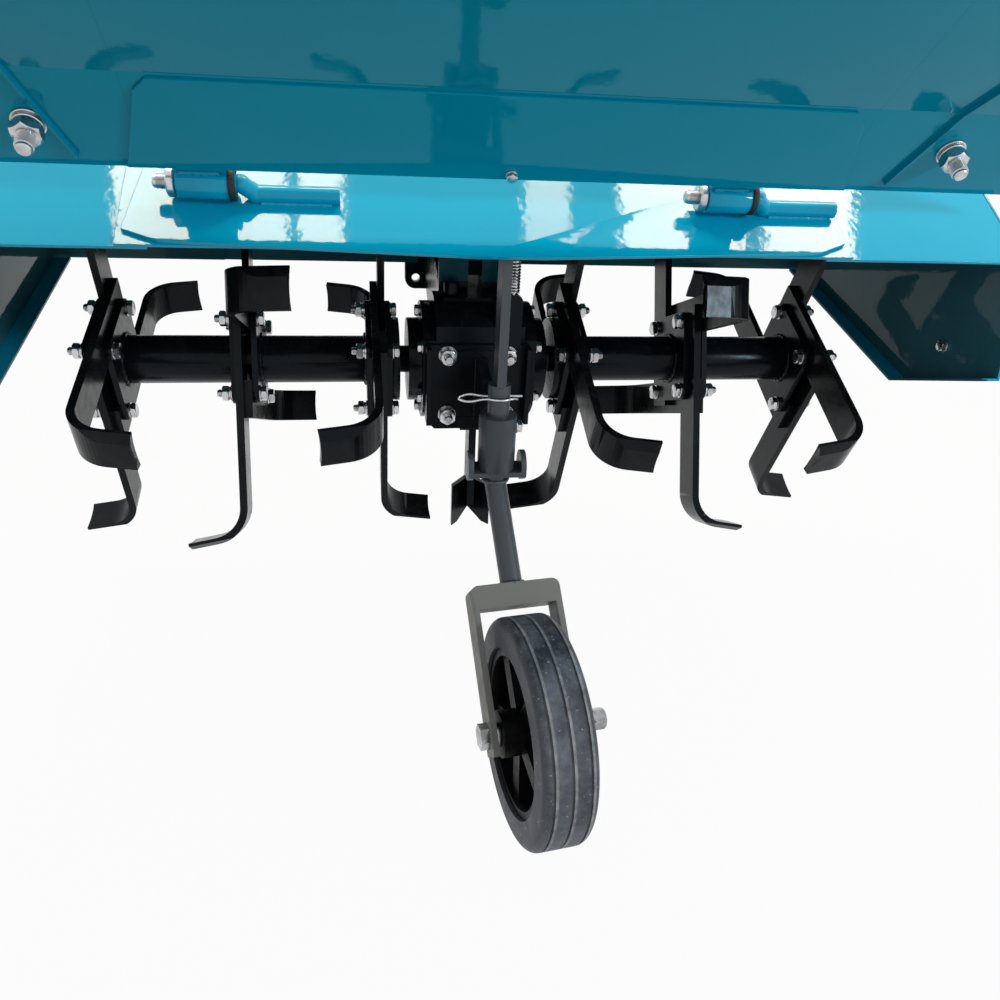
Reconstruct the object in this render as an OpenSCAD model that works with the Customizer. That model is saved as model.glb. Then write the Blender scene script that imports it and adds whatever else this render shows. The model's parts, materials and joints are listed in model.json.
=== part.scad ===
// Rotary tilling unit of a two-wheel power tiller, seen from behind along +Y
// Millimetres, +Y points to the tractor, origin at the centre of the drive flange

/* [Drive flange] */
// Distance from the rotor axis forward to the flange face
flange_ahead = 290; // [285:1:320]
// Height of the flange centre above the rotor axis
flange_rise = 105; // [95:1:115]
// Side of the square flange
flange_size = 150; // [140:1:165]
// Thickness of the flange
flange_t = 14; // [10:1:18]
// Distance of the flange holes from the flange's edges
flange_hole_in = 17; // [14:1:20]
// Diameter of the flange holes
flange_hole_d = 13; // [11:0.5:15]
// Diameter of the pilot recess
pilot_d = 62; // [50:1:70]
// Depth of the pilot recess
pilot_depth = 8; // [4:1:10]

/* [Gear case] */
// Radius of the drum round the rotor axis
drum_r = 88; // [82:1:90]
// Half the width of the drum
drum_half = 56; // [52:1:57]
// Half the width of the neck that leads to the flange
neck_half = 44; // [38:1:48]
// Distance from the rotor axis back to the pad of the rear bracket
pad_back = 64; // [60:1:70]
// Height of the rear pad
pad_h = 112; // [108:1:124]
// Width of the rear pad
pad_w = 104; // [90:1:106]
// Diameter of the bearing cap's flange
cap_flange_d = 152; // [140:1:156]
// Thickness of the bearing cap's flange
cap_flange_t = 16; // [12:1:17]
// Diameter of the bearing cap's boss
cap_boss_d = 108; // [96:1:112]
// Length of the bearing cap's boss
cap_boss_l = 17; // [12:1:19]

/* [Rotor] */
// Diameter of the output shaft
shaft_d = 35; // [30:1:40]
// Diameter of the hub disc on the shaft
hub_disc_d = 108; // [96:1:114]
// Thickness of the hub disc
hub_disc_t = 10; // [8:1:12]
// Diameter of the rotor tube
tube_d = 60; // [54:1:62]
// Distance from the middle to the first tine flange
first_flange = 126; // [124:1:132]
// Distance between tine flanges
flange_pitch = 164; // [160:0.5:168]
// Tine flanges on each side
flanges_a_side = 3; // [2:1:3]
// Side of the square clamp plates
clamp_size = 116; // [110:1:120]
// Thickness of a clamp plate
clamp_t = 7; // [5:1:8]
// Radius of a clamp plate's corners
clamp_corner_r = 14; // [8:1:18]
// Radius swept by the tine tips
tine_reach = 248; // [238:1:252]
// Width of a tine
tine_w = 46; // [40:1:48]
// Thickness of a tine
tine_t = 9; // [7:0.5:10]
// Outer radius of a tine's bend
tine_bend_r = 46; // [40:1:50]
// Angle of a tine's bend
tine_bend = 80; // [70:1:90]
// Straight length of a tine's lip
tine_lip = 32; // [24:1:34]
// Depth of the hollow cut in a tine's tip
tine_hollow = 1.5; // [1:0.5:3]
// Width of the bevel ground on a tine's lip
bevel_w = 12; // [8:1:16]
// Depth of that bevel at the edge
bevel_deep = 5; // [3:0.5:6]

/* [Hood] */
// Thickness of the hood, wing and side sheets
sheet_t = 3; // [2:0.5:4]
// Height of the hood's top above the rotor axis
hood_top = 268; // [264:1:280]
// Distance from the rotor axis forward to the apron
apron_ahead = 258; // [256:1:264]
// Height of the apron's lower edge above the rotor axis
apron_low = 75; // [60:1:90]
// Distance from the rotor axis back to the start of the rear slope
slope_start = 103; // [95:1:110]
// Length of the rear slope
slope_len = 156; // [150:1:165]
// Angle of the rear slope below the horizontal
slope_angle = 32.5; // [28:0.5:36]
// Half the width of the centre sheet
centre_half = 375; // [360:1:390]
// Overlap of a wing under the centre sheet
wing_lap = 30; // [20:1:40]
// Half the width over the side plates
hood_half = 585; // [575:1:600]
// Width of the side plate's folded rim
rim_w = 25; // [15:1:30]
// Half the width of the cut in the apron for the neck
apron_cut_half = 56; // [54:1:62]
// Height of the cut in the apron above its lower edge
apron_cut_h = 110; // [105:1:120]

/* [Hinge and flap] */
// Thickness of the hinge plate on the rear slope
hinge_plate_t = 4; // [3:0.5:6]
// Distance of the hinge plate's ends inside the centre sheet's edges
hinge_plate_in = 6; // [4:1:30]
// How far the hinge plate hangs past the hood at the middle
hinge_plate_drop = 12; // [6:1:14]
// Distance of the hinge axis up from the slope's lower end
hinge_up = 62; // [58:1:68]
// Half the distance between the hinges
hinge_x = 266; // [250:1:280]
// Shift of both hinges to the left, away from their rods
hinge_shift = 28; // [20:1:34]
// Outer diameter of a hinge barrel
barrel_d = 30; // [26:1:32]
// Length of a hinge barrel
barrel_l = 48; // [40:1:52]
// Diameter of a hinge rod
hinge_rod_d = 17; // [14:0.5:18]
// Free length of a hinge rod beside the barrel
hinge_rod_l = 98; // [80:1:102]
// Thickness of the friction ring beside the barrel
ring_t = 6; // [4:0.5:8]
// Diameter of the friction ring
ring_d = 33; // [31:1:37]
// Length of the flap's lower band
band_len = 100; // [90:1:110]
// Angle of the lower band above the horizontal, raised
band_angle = 52; // [46:1:56]
// Length of the flap's main panel
panel_len = 250; // [220:1:280]
// Angle of the main panel above the horizontal, raised
panel_angle = 40; // [34:1:46]
// Distance of the flap's seams inside the hood's centre sheet
flap_in = 35; // [20:1:50]
// Distance of the flap strip's ends inside the hood's centre sheet
strip_in = 20; // [12:1:24]
// How far each end of the strip leans in toward its top
strip_lean = 24; // [10:1:30]
// Distance of a rib's foot outside the hood's centre sheet
rib_out = 14; // [10:1:30]
// Height of a rib above the flap
rib_h = 5; // [4:1:6]
// Angle by which the ribs splay outward
rib_angle = 20; // [10:1:22]

/* [Rear bracket and socket] */
// Width of the bracket
bracket_w = 131; // [124:1:134]
// Height of the bracket
bracket_h = 111; // [106:1:112]
// Thickness of the bracket
bracket_t = 6; // [5:0.5:8]
// Depth of the bracket's side flanges
bracket_side = 26; // [20:1:36]
// Shift of the bracket to the left of the middle
bracket_shift = 4; // [0:1:5]
// Distance from the rotor axis back to the swivel axis
swivel_back = 216; // [210:1:224]
// Outer diameter of the socket tube
socket_d = 42.4; // [38:0.1:46]
// Height of the socket tube
socket_h = 64; // [56:1:70]
// Height of the socket's top above the rotor axis
socket_top = 3; // [0:1:8]
// Thickness of the arm between bracket and socket
arm_t = 12; // [8:1:16]

/* [Depth wheel] */
// Diameter of the stem
stem_d = 25; // [22:0.5:27]
// Height of the stem's top above the socket
stem_above = 36; // [32:1:40]
// Distance of the kink below the socket
kink_below = 16; // [14:1:20]
// Rake of the lower stem from the vertical
rake = 43; // [38:1:46]
// Swing of the wheel to the right at rest
swing = 6.7; // [0:0.1:10]
// Length of the raked stem from the kink to the fork
raked_len = 124; // [115:1:130]
// Clearance between the fork's bar and the tyre
tyre_gap = 10; // [8:1:16]
// Thickness of the stop plate under the socket
stop_t = 6; // [4:0.5:8]
// Height of the stop plate's ears
ear_h = 20; // [14:1:24]
// Top of the lift bar above the rotor axis
lift_top = 176; // [150:1:177]
// Thickness of the lift bar
lift_t = 10; // [8:1:12]
// Depth of the lift bar
lift_depth = 30; // [26:1:32]
// Diameter of the spring clip's wire
clip_wire = 4; // [3:0.5:5]
// Half the outer width of the fork
fork_half = 51; // [49:1:54]
// Height of the fork's top bar
fork_bar_h = 26; // [22:1:30]
// Depth of the fork's bar and legs
fork_depth = 32; // [28:1:36]
// Thickness of a fork leg
fork_leg_t = 7; // [6:0.5:9]
// Radius of the fork's top corners
fork_corner_r = 9; // [6:1:12]
// Diameter of the wheel axle
axle_d = 16; // [14:0.5:18]
// Diameter of the tyre
tyre_d = 244; // [236:1:248]
// Width of the tyre
tyre_w = 58; // [54:1:64]
// Radius of the tyre's shoulders
shoulder_r = 10; // [8:1:13]
// Width of a groove in the tread
groove_w = 2.6; // [2:0.2:4]
// Depth of a groove in the tread
groove_deep = 3; // [2:0.5:4]
// Distance between the grooves
groove_pitch = 19; // [16:1:20]
// Diameter of the rim
rim_d = 180; // [172:1:186]
// Diameter of the wheel's hub
hub_d = 50; // [46:1:58]
// Length of the wheel's hub
hub_l = 78; // [72:1:79]
// Number of spokes
spokes = 5; // [4:1:6]

/* [Middle share] */
// Height of the share
share_h = 62; // [52:1:66]
// Half the width of the share
share_half = 27; // [22:1:30]
// Depth of the share's tip below the rotor axis
share_deep = 242; // [230:1:244]

/* [Hidden] */
$fn = 64;

// Clearances
run_gap = 0.1;
weld_gap = 0.05;
seat_gap = 0.3;
washer_gap = 0.3;
layer_gap = 0.2;
tine_gap = 0.5;
hinge_gap = 1.5;
seam_gap = 0.1;

// Paints and metals
teal = [0.0, 0.58, 0.73];
gloss_black = [0.06, 0.06, 0.07];
satin_grey = [0.25, 0.26, 0.28];
olive_grey = [0.43, 0.43, 0.4];
zinc = [0.75, 0.76, 0.78];
rubber = [0.14, 0.15, 0.17];

// Rotor values
stack_half = layer_gap / 2 + tine_t + clamp_t;
clamp_inner = first_flange - stack_half;
tube_end = first_flange + (flanges_a_side - 1) * flange_pitch + stack_half;
// Tines lie beside the tube like the arms of a pinwheel, in two layers
tine_side = tube_d / 2 + tine_gap + tine_w / 2;
tine_root = -tine_side - tine_w / 4;
tine_len = sqrt(pow(tine_reach, 2) - pow(tine_side + tine_w / 2, 2));
bend_out = tine_bend_r - tine_t / 2;
bend_up = tine_len - tine_bend_r * sin(tine_bend) - tine_lip * cos(tine_bend);
tip_hollow_r = (tine_w * tine_w / 4 + tine_hollow * tine_hollow) / (2 * tine_hollow);
// Angle of each tine set, from straight up toward the rear
tine_angle_left = [19, 68, 19];
tine_angle_right = [24, 69, 26];
// Side each tine of a set bends to, from the one nearest the top
bends_left = [[1, -1, 1, -1], [1, -1, 1, -1], [-1, 1, -1, 1]];
bends_right = [[-1, 1, -1, 1], [-1, 1, -1, 1], [1, -1, 1, -1]];
// Side of the layer that holds the first tine of each set
layer_left = [1, 1, -1];
layer_right = [1, 1, 1];

// Hood outline from the apron's lower edge over the top to the rear edge
apron_lean = 8;
brow_drop = 53;
brow_run = 45;
slope_end = [-slope_start - slope_len * cos(slope_angle), hood_top - slope_len * sin(slope_angle)];
hood_path = [[apron_ahead, apron_low], [apron_ahead - apron_lean, hood_top - brow_drop],
    [apron_ahead - apron_lean - brow_run, hood_top], [-slope_start, hood_top], slope_end];
side_low = [-85, -5];
side_rear = [-250, 50];
rim_start = 8;

// Hinge and flap
hinge_plate_half = centre_half - hinge_plate_in;
hinge_down = slope_len - hinge_up;
flap_half = centre_half - flap_in;
strip_half = centre_half - strip_in;
rib_x = centre_half + rib_out;
hinge_rise = hinge_plate_t + max(barrel_d, ring_d) / 2 + hinge_gap;
hinge_y = -slope_start - hinge_down * cos(slope_angle) - hinge_rise * sin(slope_angle);
hinge_z = hood_top - hinge_down * sin(slope_angle) + hinge_rise * cos(slope_angle);
foot_lift = 0.5;
foot_back = 22;
band_dir = [-cos(band_angle), sin(band_angle)];
band_foot = [-foot_back, ring_d / 2 + foot_lift];
band_top = band_foot + band_len * band_dir;
panel_dir = [-cos(panel_angle), sin(panel_angle)];
panel_tip = band_top + panel_len * panel_dir;
flap_path = [band_foot, band_top, panel_tip];
flap_wing_half = hood_half + 5;

// Bead that fills the kink of a bent rod
kink_bead = 1;

// Depth wheel
stem_top = socket_top + stem_above;
axle_reach = raked_len + fork_bar_h + tyre_gap + tyre_d / 2;
kink_z = socket_top - socket_h - kink_below;
leg_tip = 6;
leg_end = axle_reach + fork_depth / 2 + leg_tip;
leg_in = fork_half - fork_leg_t;
rubber_in = rim_d / 2;

// Outline helpers
function unit(v) = v / norm(v);
function left_of(a, b) = let (d = unit(b - a)) [-d[1], d[0]];
function mitre(a, b, c) = let (m = left_of(a, b), n = left_of(b, c)) (m + n) / (1 + m * n);
function corner_side(p, i) =
    i == 0 ? left_of(p[0], p[1])
    : i == len(p) - 1 ? left_of(p[i - 1], p[i])
    : mitre(p[i - 1], p[i], p[i + 1]);
function shifted(p, t) = [for (i = [0 : len(p) - 1]) p[i] + t * corner_side(p, i)];
function reversed(p) = [for (i = [len(p) - 1 : -1 : 0]) p[i]];
function arc(c, r, from, to, n = 12) =
    [for (i = [0 : n]) let (a = from + (to - from) * i / n) c + r * [cos(a), sin(a)]];
function flange_at(i) = first_flange + i * flange_pitch;

// Places the rotor axis below and behind the flange
module at_rotor() { translate([0, -flange_ahead, -flange_rise]) children(); }

// Extrudes an outline drawn in Y and Z from one X to another
module along_x(x0, x1) { translate([x0, 0, 0]) rotate([90, 0, 90]) linear_extrude(x1 - x0) children(); }

// Bent sheet between two offsets of a path
module bent_sheet(path, near, far, x0, x1) {
    along_x(x0, x1) polygon(concat(shifted(path, near), reversed(shifted(path, far))));
}

module x_cylinder(d, x0, x1) { translate([x0, 0, 0]) rotate([0, 90, 0]) cylinder(d = d, h = x1 - x0); }

module rounded_square(size, r) {
    square([size, size - 2 * r], center = true);
    square([size - 2 * r, size], center = true);
    for (x = [-1, 1], y = [-1, 1]) translate([x, y] * (size / 2 - r)) circle(r);
}

// Local frame on the rear slope: X across, Y up the slope, Z off the sheet
module on_slope() { translate([0, -slope_start, hood_top]) rotate([slope_angle, 0, 0]) children(); }

module at_hinge() { translate([0, hinge_y, hinge_z]) children(); }

module at_hinges() { for (s = [-1, 1]) translate([s * hinge_x - hinge_shift, 0, 0]) children(); }

module at_swivel() { translate([0, -swivel_back, 0]) children(); }

// Local frame of the raked leg: -Z down the leg, X along the axle
module on_rake() {
    at_swivel() translate([0, 0, kink_z]) rotate([0, 0, swing]) rotate([-rake, 0, 0]) children();
}

module at_axle() { on_rake() translate([0, 0, -axle_reach]) children(); }

// Gear case
flange_hole_pitch = flange_size - 2 * flange_hole_in;
neck_mouth_half = 56;
neck_rear = [-drum_r / 3, drum_r];
neck_top = [60, 98];
neck_low = [70, -40];
neck_root = [0, -60];
neck_path = [neck_rear, neck_top, [flange_ahead - flange_t, flange_rise + neck_mouth_half],
    [flange_ahead - flange_t, flange_rise - neck_mouth_half], neck_low, neck_root];
flange_corner_r = 16;
lug_x = 28;
lug_w = 38;
lug_y = 10;
lug_depth = 36;
lug_top = 100;
filler_x = -32;
filler_y = -6;
filler_d = 20;
filler_top = 103;
pad_low = -72;
foot_low = -94;
foot_half = 18;
foot_depth = 44;

module flange_plate() {
    rotate([90, 0, 0]) linear_extrude(flange_t) difference() {
        rounded_square(flange_size, flange_corner_r);
        for (x = [-1, 1], y = [-1, 1]) translate([x, y] * flange_hole_pitch / 2) circle(d = flange_hole_d);
    }
}

module gear_case() {
    color(gloss_black) at_rotor() difference() {
        union() {
            x_cylinder(2 * drum_r, -drum_half, drum_half);
            along_x(-neck_half, neck_half) polygon(neck_path);
            translate([-pad_w / 2, -pad_back, pad_low]) cube([pad_w, pad_back, pad_h]);
            translate([-foot_half, -foot_depth / 2, foot_low]) cube([2 * foot_half, foot_depth, -foot_low]);
            for (s = [-1, 1]) translate([s * lug_x - lug_w / 2, lug_y, 0])
                cube([lug_w, lug_depth, lug_top]);
            translate([filler_x, filler_y, 0]) cylinder(d = filler_d, h = filler_top);
            translate([0, flange_ahead, flange_rise]) flange_plate();
        }
        x_cylinder(shaft_d + 2 * run_gap, -drum_half - 1, drum_half + 1);
        translate([0, flange_ahead + 1, flange_rise]) rotate([90, 0, 0])
            cylinder(d = pilot_d, h = pilot_depth + 1);
        translate([-drum_half - 1, -pad_back - drum_r, -drum_r - 1])
            cube([2 * drum_half + 2, drum_r, 2 * drum_r + 2]);
    }
}

// Bearing cap with a flat behind it that leaves room for the bracket
cap_room = 1;

module bearing_cap() {
    difference() {
        rotate([0, 90, 0]) rotate_extrude() difference() {
            union() {
                square([cap_flange_d / 2, cap_flange_t]);
                square([cap_boss_d / 2, cap_flange_t + cap_boss_l]);
            }
            translate([0, -1]) square([shaft_d / 2 + run_gap, cap_flange_t + cap_boss_l + 2]);
        }
        translate([-1, cap_room - pad_back - cap_flange_d, -cap_flange_d / 2])
            cube([cap_flange_t + 2, cap_flange_d, cap_flange_d]);
    }
}

module bearing_caps() {
    color(gloss_black) at_rotor() for (s = [0, 1])
        mirror([s, 0, 0]) translate([drum_half, 0, 0]) bearing_cap();
}

// Rear bracket
bracket_low = -72;
bracket_chamfer = 12;
bolt_pitch = 76;
bolt_rise = 78;
bolt_low = -51;
bolt_hole_d = 10.5;
bracket_back = pad_back + bracket_t;

module bracket_outline() {
    h = bracket_w / 2;
    polygon([[-h + bracket_chamfer, bracket_low], [h - bracket_chamfer, bracket_low],
        [h, bracket_low + bracket_chamfer], [h, bracket_low + bracket_h],
        [-h, bracket_low + bracket_h], [-h, bracket_low + bracket_chamfer]]);
}

module rear_bracket() {
    color(satin_grey) at_rotor() translate([-bracket_shift, 0, 0]) {
        translate([0, -pad_back, 0]) rotate([90, 0, 0]) linear_extrude(bracket_t) difference() {
            bracket_outline();
            for (x = [-1, 1], z = [0, 1])
                translate([x * bolt_pitch / 2, bolt_low + z * bolt_rise]) circle(d = bolt_hole_d);
        }
        for (s = [0, 1]) mirror([s, 0, 0])
            translate([bracket_w / 2 - bracket_t, -pad_back - bracket_side, bracket_low + bracket_chamfer])
                cube([bracket_t, bracket_side, bracket_h - bracket_chamfer]);
    }
}

// Socket tube with the arm that carries it
arm_low_rear = -28;
arm_low_front = -60;
arm_top_rear = 0;
arm_top_front = 24;

module swivel_socket() {
    color(satin_grey) at_rotor() difference() {
        union() {
            at_swivel() translate([0, 0, socket_top - socket_h]) cylinder(d = socket_d, h = socket_h);
            along_x(-arm_t / 2, arm_t / 2)
                polygon([[-bracket_back, arm_low_front], [-bracket_back, arm_top_front],
                    [-swivel_back, arm_top_rear], [-swivel_back, arm_low_rear]]);
        }
        at_swivel() translate([0, 0, socket_top - socket_h - 1])
            cylinder(d = stem_d + 2 * run_gap, h = socket_h + 2);
    }
}

// Share under the gear case, folded to a V with a notched lower edge
share_run = 36;
share_t = 6;
share_notch = 14;
share_flank = 10;
share_bite = 19;
share_arm_t = 10;
share_arm_w = 36;

module share_plan() {
    polygon([[0, share_run], [share_half, 0], [share_half, -share_flank], [0, share_run - 2 * share_t],
        [-share_half, -share_flank], [-share_half, 0]]);
}

module middle_share() {
    color(gloss_black) at_rotor() {
        translate([-share_arm_t / 2, -share_arm_w / 2, -share_deep + share_h / 2])
            cube([share_arm_t, share_arm_w, share_deep - share_h / 2 + foot_low]);
        difference() {
            translate([0, -share_run / 2 + share_t, -share_deep]) linear_extrude(share_h) share_plan();
            translate([0, share_run, -share_deep]) rotate([90, 0, 0]) linear_extrude(2 * share_run)
                polygon([[-share_bite, -1], [0, share_notch], [share_bite, -1]]);
        }
    }
}

// Hood sheets
module hood_centre() {
    color(teal) at_rotor() difference() {
        bent_sheet(hood_path, 0, sheet_t, -centre_half, centre_half);
        translate([-apron_cut_half, apron_ahead - apron_lean - 2 * sheet_t, apron_low - 1])
            cube([2 * apron_cut_half, apron_lean + 4 * sheet_t, apron_cut_h + 1]);
    }
}

module hood_wing() {
    bent_sheet(hood_path, sheet_t, 2 * sheet_t, centre_half - wing_lap, hood_half - sheet_t);
}

module hood_wing_left() { color(teal) at_rotor() mirror([1, 0, 0]) hood_wing(); }

module hood_wing_right() { color(teal) at_rotor() hood_wing(); }

module side_plate() {
    top = shifted(hood_path, sheet_t);
    low = [top[0] + rim_start * unit(side_low - top[0]), side_low, side_rear];
    along_x(hood_half - sheet_t, hood_half) polygon(concat(top, [side_rear, side_low]));
    bent_sheet(low, -sheet_t, 0, hood_half - rim_w, hood_half - sheet_t / 2);
}

module side_plate_left() { color(teal) at_rotor() mirror([1, 0, 0]) side_plate(); }

module side_plate_right() { color(teal) at_rotor() side_plate(); }

// Angles between the gear case and the hood
stay_t = 6;

module hood_brackets() {
    tall = hood_top - sheet_t - lug_top;
    color(teal) at_rotor() for (s = [0, 1]) mirror([s, 0, 0])
        translate([lug_x - lug_w / 2, lug_y, lug_top]) {
            cube([lug_w, stay_t, tall]);
            cube([stay_t, lug_depth, tall]);
        }
}

// Hinge plate with chamfered corners and a lower edge that dips in the middle
hinge_plate_up = 12;
hinge_chamfer = 34;
hinge_step = 2;

module hinge_plate() {
    h = hinge_plate_half;
    color(teal) at_rotor() on_slope() linear_extrude(hinge_plate_t)
        polygon([[-h + hinge_chamfer / 2, -hinge_plate_up], [h - hinge_chamfer / 2, -hinge_plate_up],
            [h, -slope_len + hinge_chamfer / 2], [h - hinge_chamfer, -slope_len + hinge_step],
            [hinge_chamfer, -slope_len - hinge_plate_drop], [-hinge_chamfer, -slope_len - hinge_plate_drop],
            [-h + hinge_chamfer, -slope_len + hinge_step], [-h, -slope_len + hinge_chamfer / 2]]);
}

// Hinge rods: one end is the pin, then a bend leads down to the end that lies on the hinge plate
rod_straight = 4;
rod_lean = 42;
rod_head_t = 8;
rod_head_d = 26;
rod_flat = 2;
rod_drop = hinge_rise - hinge_plate_t - hinge_rod_d / 2 + rod_flat;
rod_run = rod_drop / tan(rod_lean);
pin_start = -barrel_l / 2 - seat_gap - rod_head_t;
rod_start = barrel_l / 2 + seat_gap + ring_t;

module hinge_rod() {
    x_cylinder(hinge_rod_d, pin_start + rod_head_t / 2, rod_start + rod_straight);
    translate([pin_start, 0, 0]) rotate([0, 90, 0]) cylinder(d = rod_head_d, h = rod_head_t, $fn = 6);
    translate([rod_start + rod_straight, 0, 0]) {
        sphere(d = hinge_rod_d + kink_bead);
        rotate([0, 90 + rod_lean, 0]) cylinder(d = hinge_rod_d, h = rod_drop / sin(rod_lean));
    }
    translate([rod_start + rod_straight + rod_run, 0, -rod_drop]) {
        sphere(d = hinge_rod_d + kink_bead);
        x_cylinder(hinge_rod_d, 0, hinge_rod_l - rod_straight - rod_run);
    }
}

module hinge_rods() {
    color(teal) at_rotor() on_slope() difference() {
        translate([0, -hinge_down, hinge_rise]) at_hinges() hinge_rod();
        translate([-hood_half, -slope_len, hinge_plate_t - hinge_rod_d])
            cube([2 * hood_half, slope_len, hinge_rod_d]);
    }
}

// Friction rings ride on the flap beside its barrels
module friction_rings() {
    color(gloss_black) at_rotor() at_hinge() at_hinges()
        translate([barrel_l / 2, 0, 0]) rotate([0, 90, 0]) rotate_extrude()
            translate([hinge_rod_d / 2 + run_gap, 0])
                square([(ring_d - hinge_rod_d) / 2 - run_gap, ring_t]);
}

// Barrels with a tab that reaches up to the flap's front face
tab_len = 12;
tab_front = [2, 10];
tab_rear = [-10, 9];

module barrel_tab() {
    polygon([band_foot, band_foot + tab_len * band_dir, tab_front, tab_rear]);
}

module flap_barrels() {
    color(teal) at_rotor() at_hinge() at_hinges() difference() {
        union() {
            x_cylinder(barrel_d, -barrel_l / 2, barrel_l / 2);
            along_x(-barrel_l / 2, barrel_l / 2) barrel_tab();
        }
        x_cylinder(hinge_rod_d + 2 * run_gap, -barrel_l, barrel_l);
    }
}

module flap_centre() {
    color(teal) at_rotor() at_hinge() bent_sheet(flap_path, 0, sheet_t, -flap_half, flap_half);
}

// Strip that stiffens the band, with its upper corners cut
strip_low = 1;
strip_cut = 12;
strip_h = band_len - 4;

module flap_strip() {
    top_half = strip_half - strip_lean;
    color(teal) at_rotor() at_hinge() translate([0, band_foot[0], band_foot[1]])
        rotate([180 - band_angle, 0, 0]) translate([0, 0, sheet_t]) linear_extrude(sheet_t)
            polygon([[-strip_half, strip_low], [strip_half, strip_low], [top_half, strip_h - strip_cut],
                [top_half - strip_cut, strip_h], [strip_cut - top_half, strip_h],
                [-top_half, strip_h - strip_cut]]);
}

// Rib that stands on a wing: its path is stretched so that it still meets the sheet when splayed
rib_foot = 12;
rib_end = 10;
rib_root = 1;
rise_angle = (band_angle + panel_angle) / 2;
rise_dir = [-cos(rise_angle), sin(rise_angle)];
rib_stretch = 1 / cos(rib_angle) - 1;
rib_line = [rib_foot * band_dir, band_top - band_foot, panel_tip - band_foot - rib_end * panel_dir];
rib_path = [for (p = rib_line) p + rib_stretch * (p * rise_dir) * rise_dir];

module flap_rib() {
    translate([rib_x, band_foot[0], band_foot[1]])
        rotate([-rise_angle, 0, 0]) rotate([0, 0, rib_angle]) rotate([rise_angle, 0, 0])
            bent_sheet(rib_path, sheet_t - rib_root, sheet_t + rib_h, 0, sheet_t);
}

module flap_wing() {
    bent_sheet(flap_path, 0, sheet_t, flap_half + seam_gap, flap_wing_half);
    flap_rib();
}

module flap_wing_left() { color(teal) at_rotor() at_hinge() mirror([1, 0, 0]) flap_wing(); }

module flap_wing_right() { color(teal) at_rotor() at_hinge() flap_wing(); }

// Engaging lever and its spring beside the pad
lever_x = 38;
lever_w = 24;
lever_h = 63;
lever_r = 9;
lever_foot = bracket_low + bracket_h;
spring_d = 15;
spring_len = 50;
spring_wire = 4;

module lever_plate() {
    h = lever_w / 2;
    color(gloss_black) at_rotor() translate([lever_x, -pad_back, lever_foot])
        rotate([90, 0, 0]) linear_extrude(bracket_t)
            polygon(concat([[-h, 0], [h, 0]], arc([h - lever_r, lever_h - lever_r], lever_r, 0, 90),
                arc([lever_r - h, lever_h - lever_r], lever_r, 90, 180)));
}

module lever_spring() {
    low = lever_foot + lever_h;
    color(zinc) at_rotor() translate([lever_x, -bracket_back + bracket_t / 2, low]) {
        cylinder(d = spring_d, h = spring_len);
        cylinder(d = spring_wire, h = hood_top - sheet_t - low);
    }
}

// Rotor
module output_shaft() {
    color(gloss_black) at_rotor() {
        x_cylinder(shaft_d, -clamp_inner, clamp_inner);
        for (s = [0, 1]) mirror([s, 0, 0]) x_cylinder(hub_disc_d, clamp_inner - hub_disc_t, clamp_inner);
    }
}

module rotor_tube() { x_cylinder(tube_d, clamp_inner, tube_end); }

module rotor_tube_left() { color(gloss_black) at_rotor() mirror([1, 0, 0]) rotor_tube(); }

module rotor_tube_right() { color(gloss_black) at_rotor() rotor_tube(); }

module clamp() {
    rotate([90, 0, 90]) linear_extrude(clamp_t) difference() {
        rounded_square(clamp_size, clamp_corner_r);
        circle(d = tube_d + 2 * weld_gap);
    }
}

module clamps(angles) {
    for (i = [0 : flanges_a_side - 1], s = [-1, 1])
        translate([flange_at(i) + s * (stack_half - clamp_t / 2) - clamp_t / 2, 0, 0])
            rotate([angles[i], 0, 0]) clamp();
}

module clamps_left() { color(gloss_black) at_rotor() mirror([1, 0, 0]) clamps(tine_angle_left); }

module clamps_right() { color(gloss_black) at_rotor() clamps(tine_angle_right); }

// Bent strip of one tine: straight shank, round bend, straight lip
module tine_profile() {
    middle = [bend_out, bend_up];
    end = 180 - tine_bend;
    lip = tine_lip * [sin(end), -cos(end)];
    outer = arc(middle, tine_bend_r, 180, end);
    inner = arc(middle, tine_bend_r - tine_t, 180, end);
    last = len(outer) - 1;
    polygon(concat([[-tine_t / 2, tine_root]], outer, [outer[last] + lip, inner[last] + lip],
        reversed(inner), [[tine_t / 2, tine_root]]));
}

// Frame of the lip: X out of its outer face, -Y to its tip, -Z to its leading edge
module on_lip() {
    translate([bend_out, 0, bend_up]) rotate([90, 0, 0]) rotate([0, 0, 180 - tine_bend])
        translate([tine_bend_r, 0, 0]) children();
}

// One tine: shank up the Z axis beside the tube, tip bent toward +X with a hollow end and a bevel
module tine() {
    run_out = tine_bend_r / 2;
    translate([0, tine_side, 0]) difference() {
        rotate([90, 0, 0]) linear_extrude(tine_w, center = true) tine_profile();
        on_lip() translate([-2 * tine_t, -tine_lip - tip_hollow_r + tine_hollow, 0])
            rotate([0, 90, 0]) cylinder(r = tip_hollow_r, h = 3 * tine_t);
        on_lip() translate([0, -tine_lip - 1, bevel_w - tine_w / 2])
            rotate([0, atan(bevel_deep / bevel_w), 0]) translate([0, 0, -2 * bevel_w])
                cube([tine_t, tine_lip + 1 + run_out, 2 * bevel_w]);
    }
}

// Four tines of one flange, from the one nearest the top toward the rear
module tine_set(x, angle, bends, first) {
    for (i = [0 : 3]) {
        layer = i % 2 == 0 ? first : -first;
        translate([x + layer * (tine_t + layer_gap) / 2, 0, 0]) rotate([angle + i * 90, 0, 0])
            mirror([bends[i] > 0 ? 0 : 1, 0, 0]) tine();
    }
}

module tines_left(i) { tine_set(-flange_at(i), tine_angle_left[i], bends_left[i], layer_left[i]); }

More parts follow.
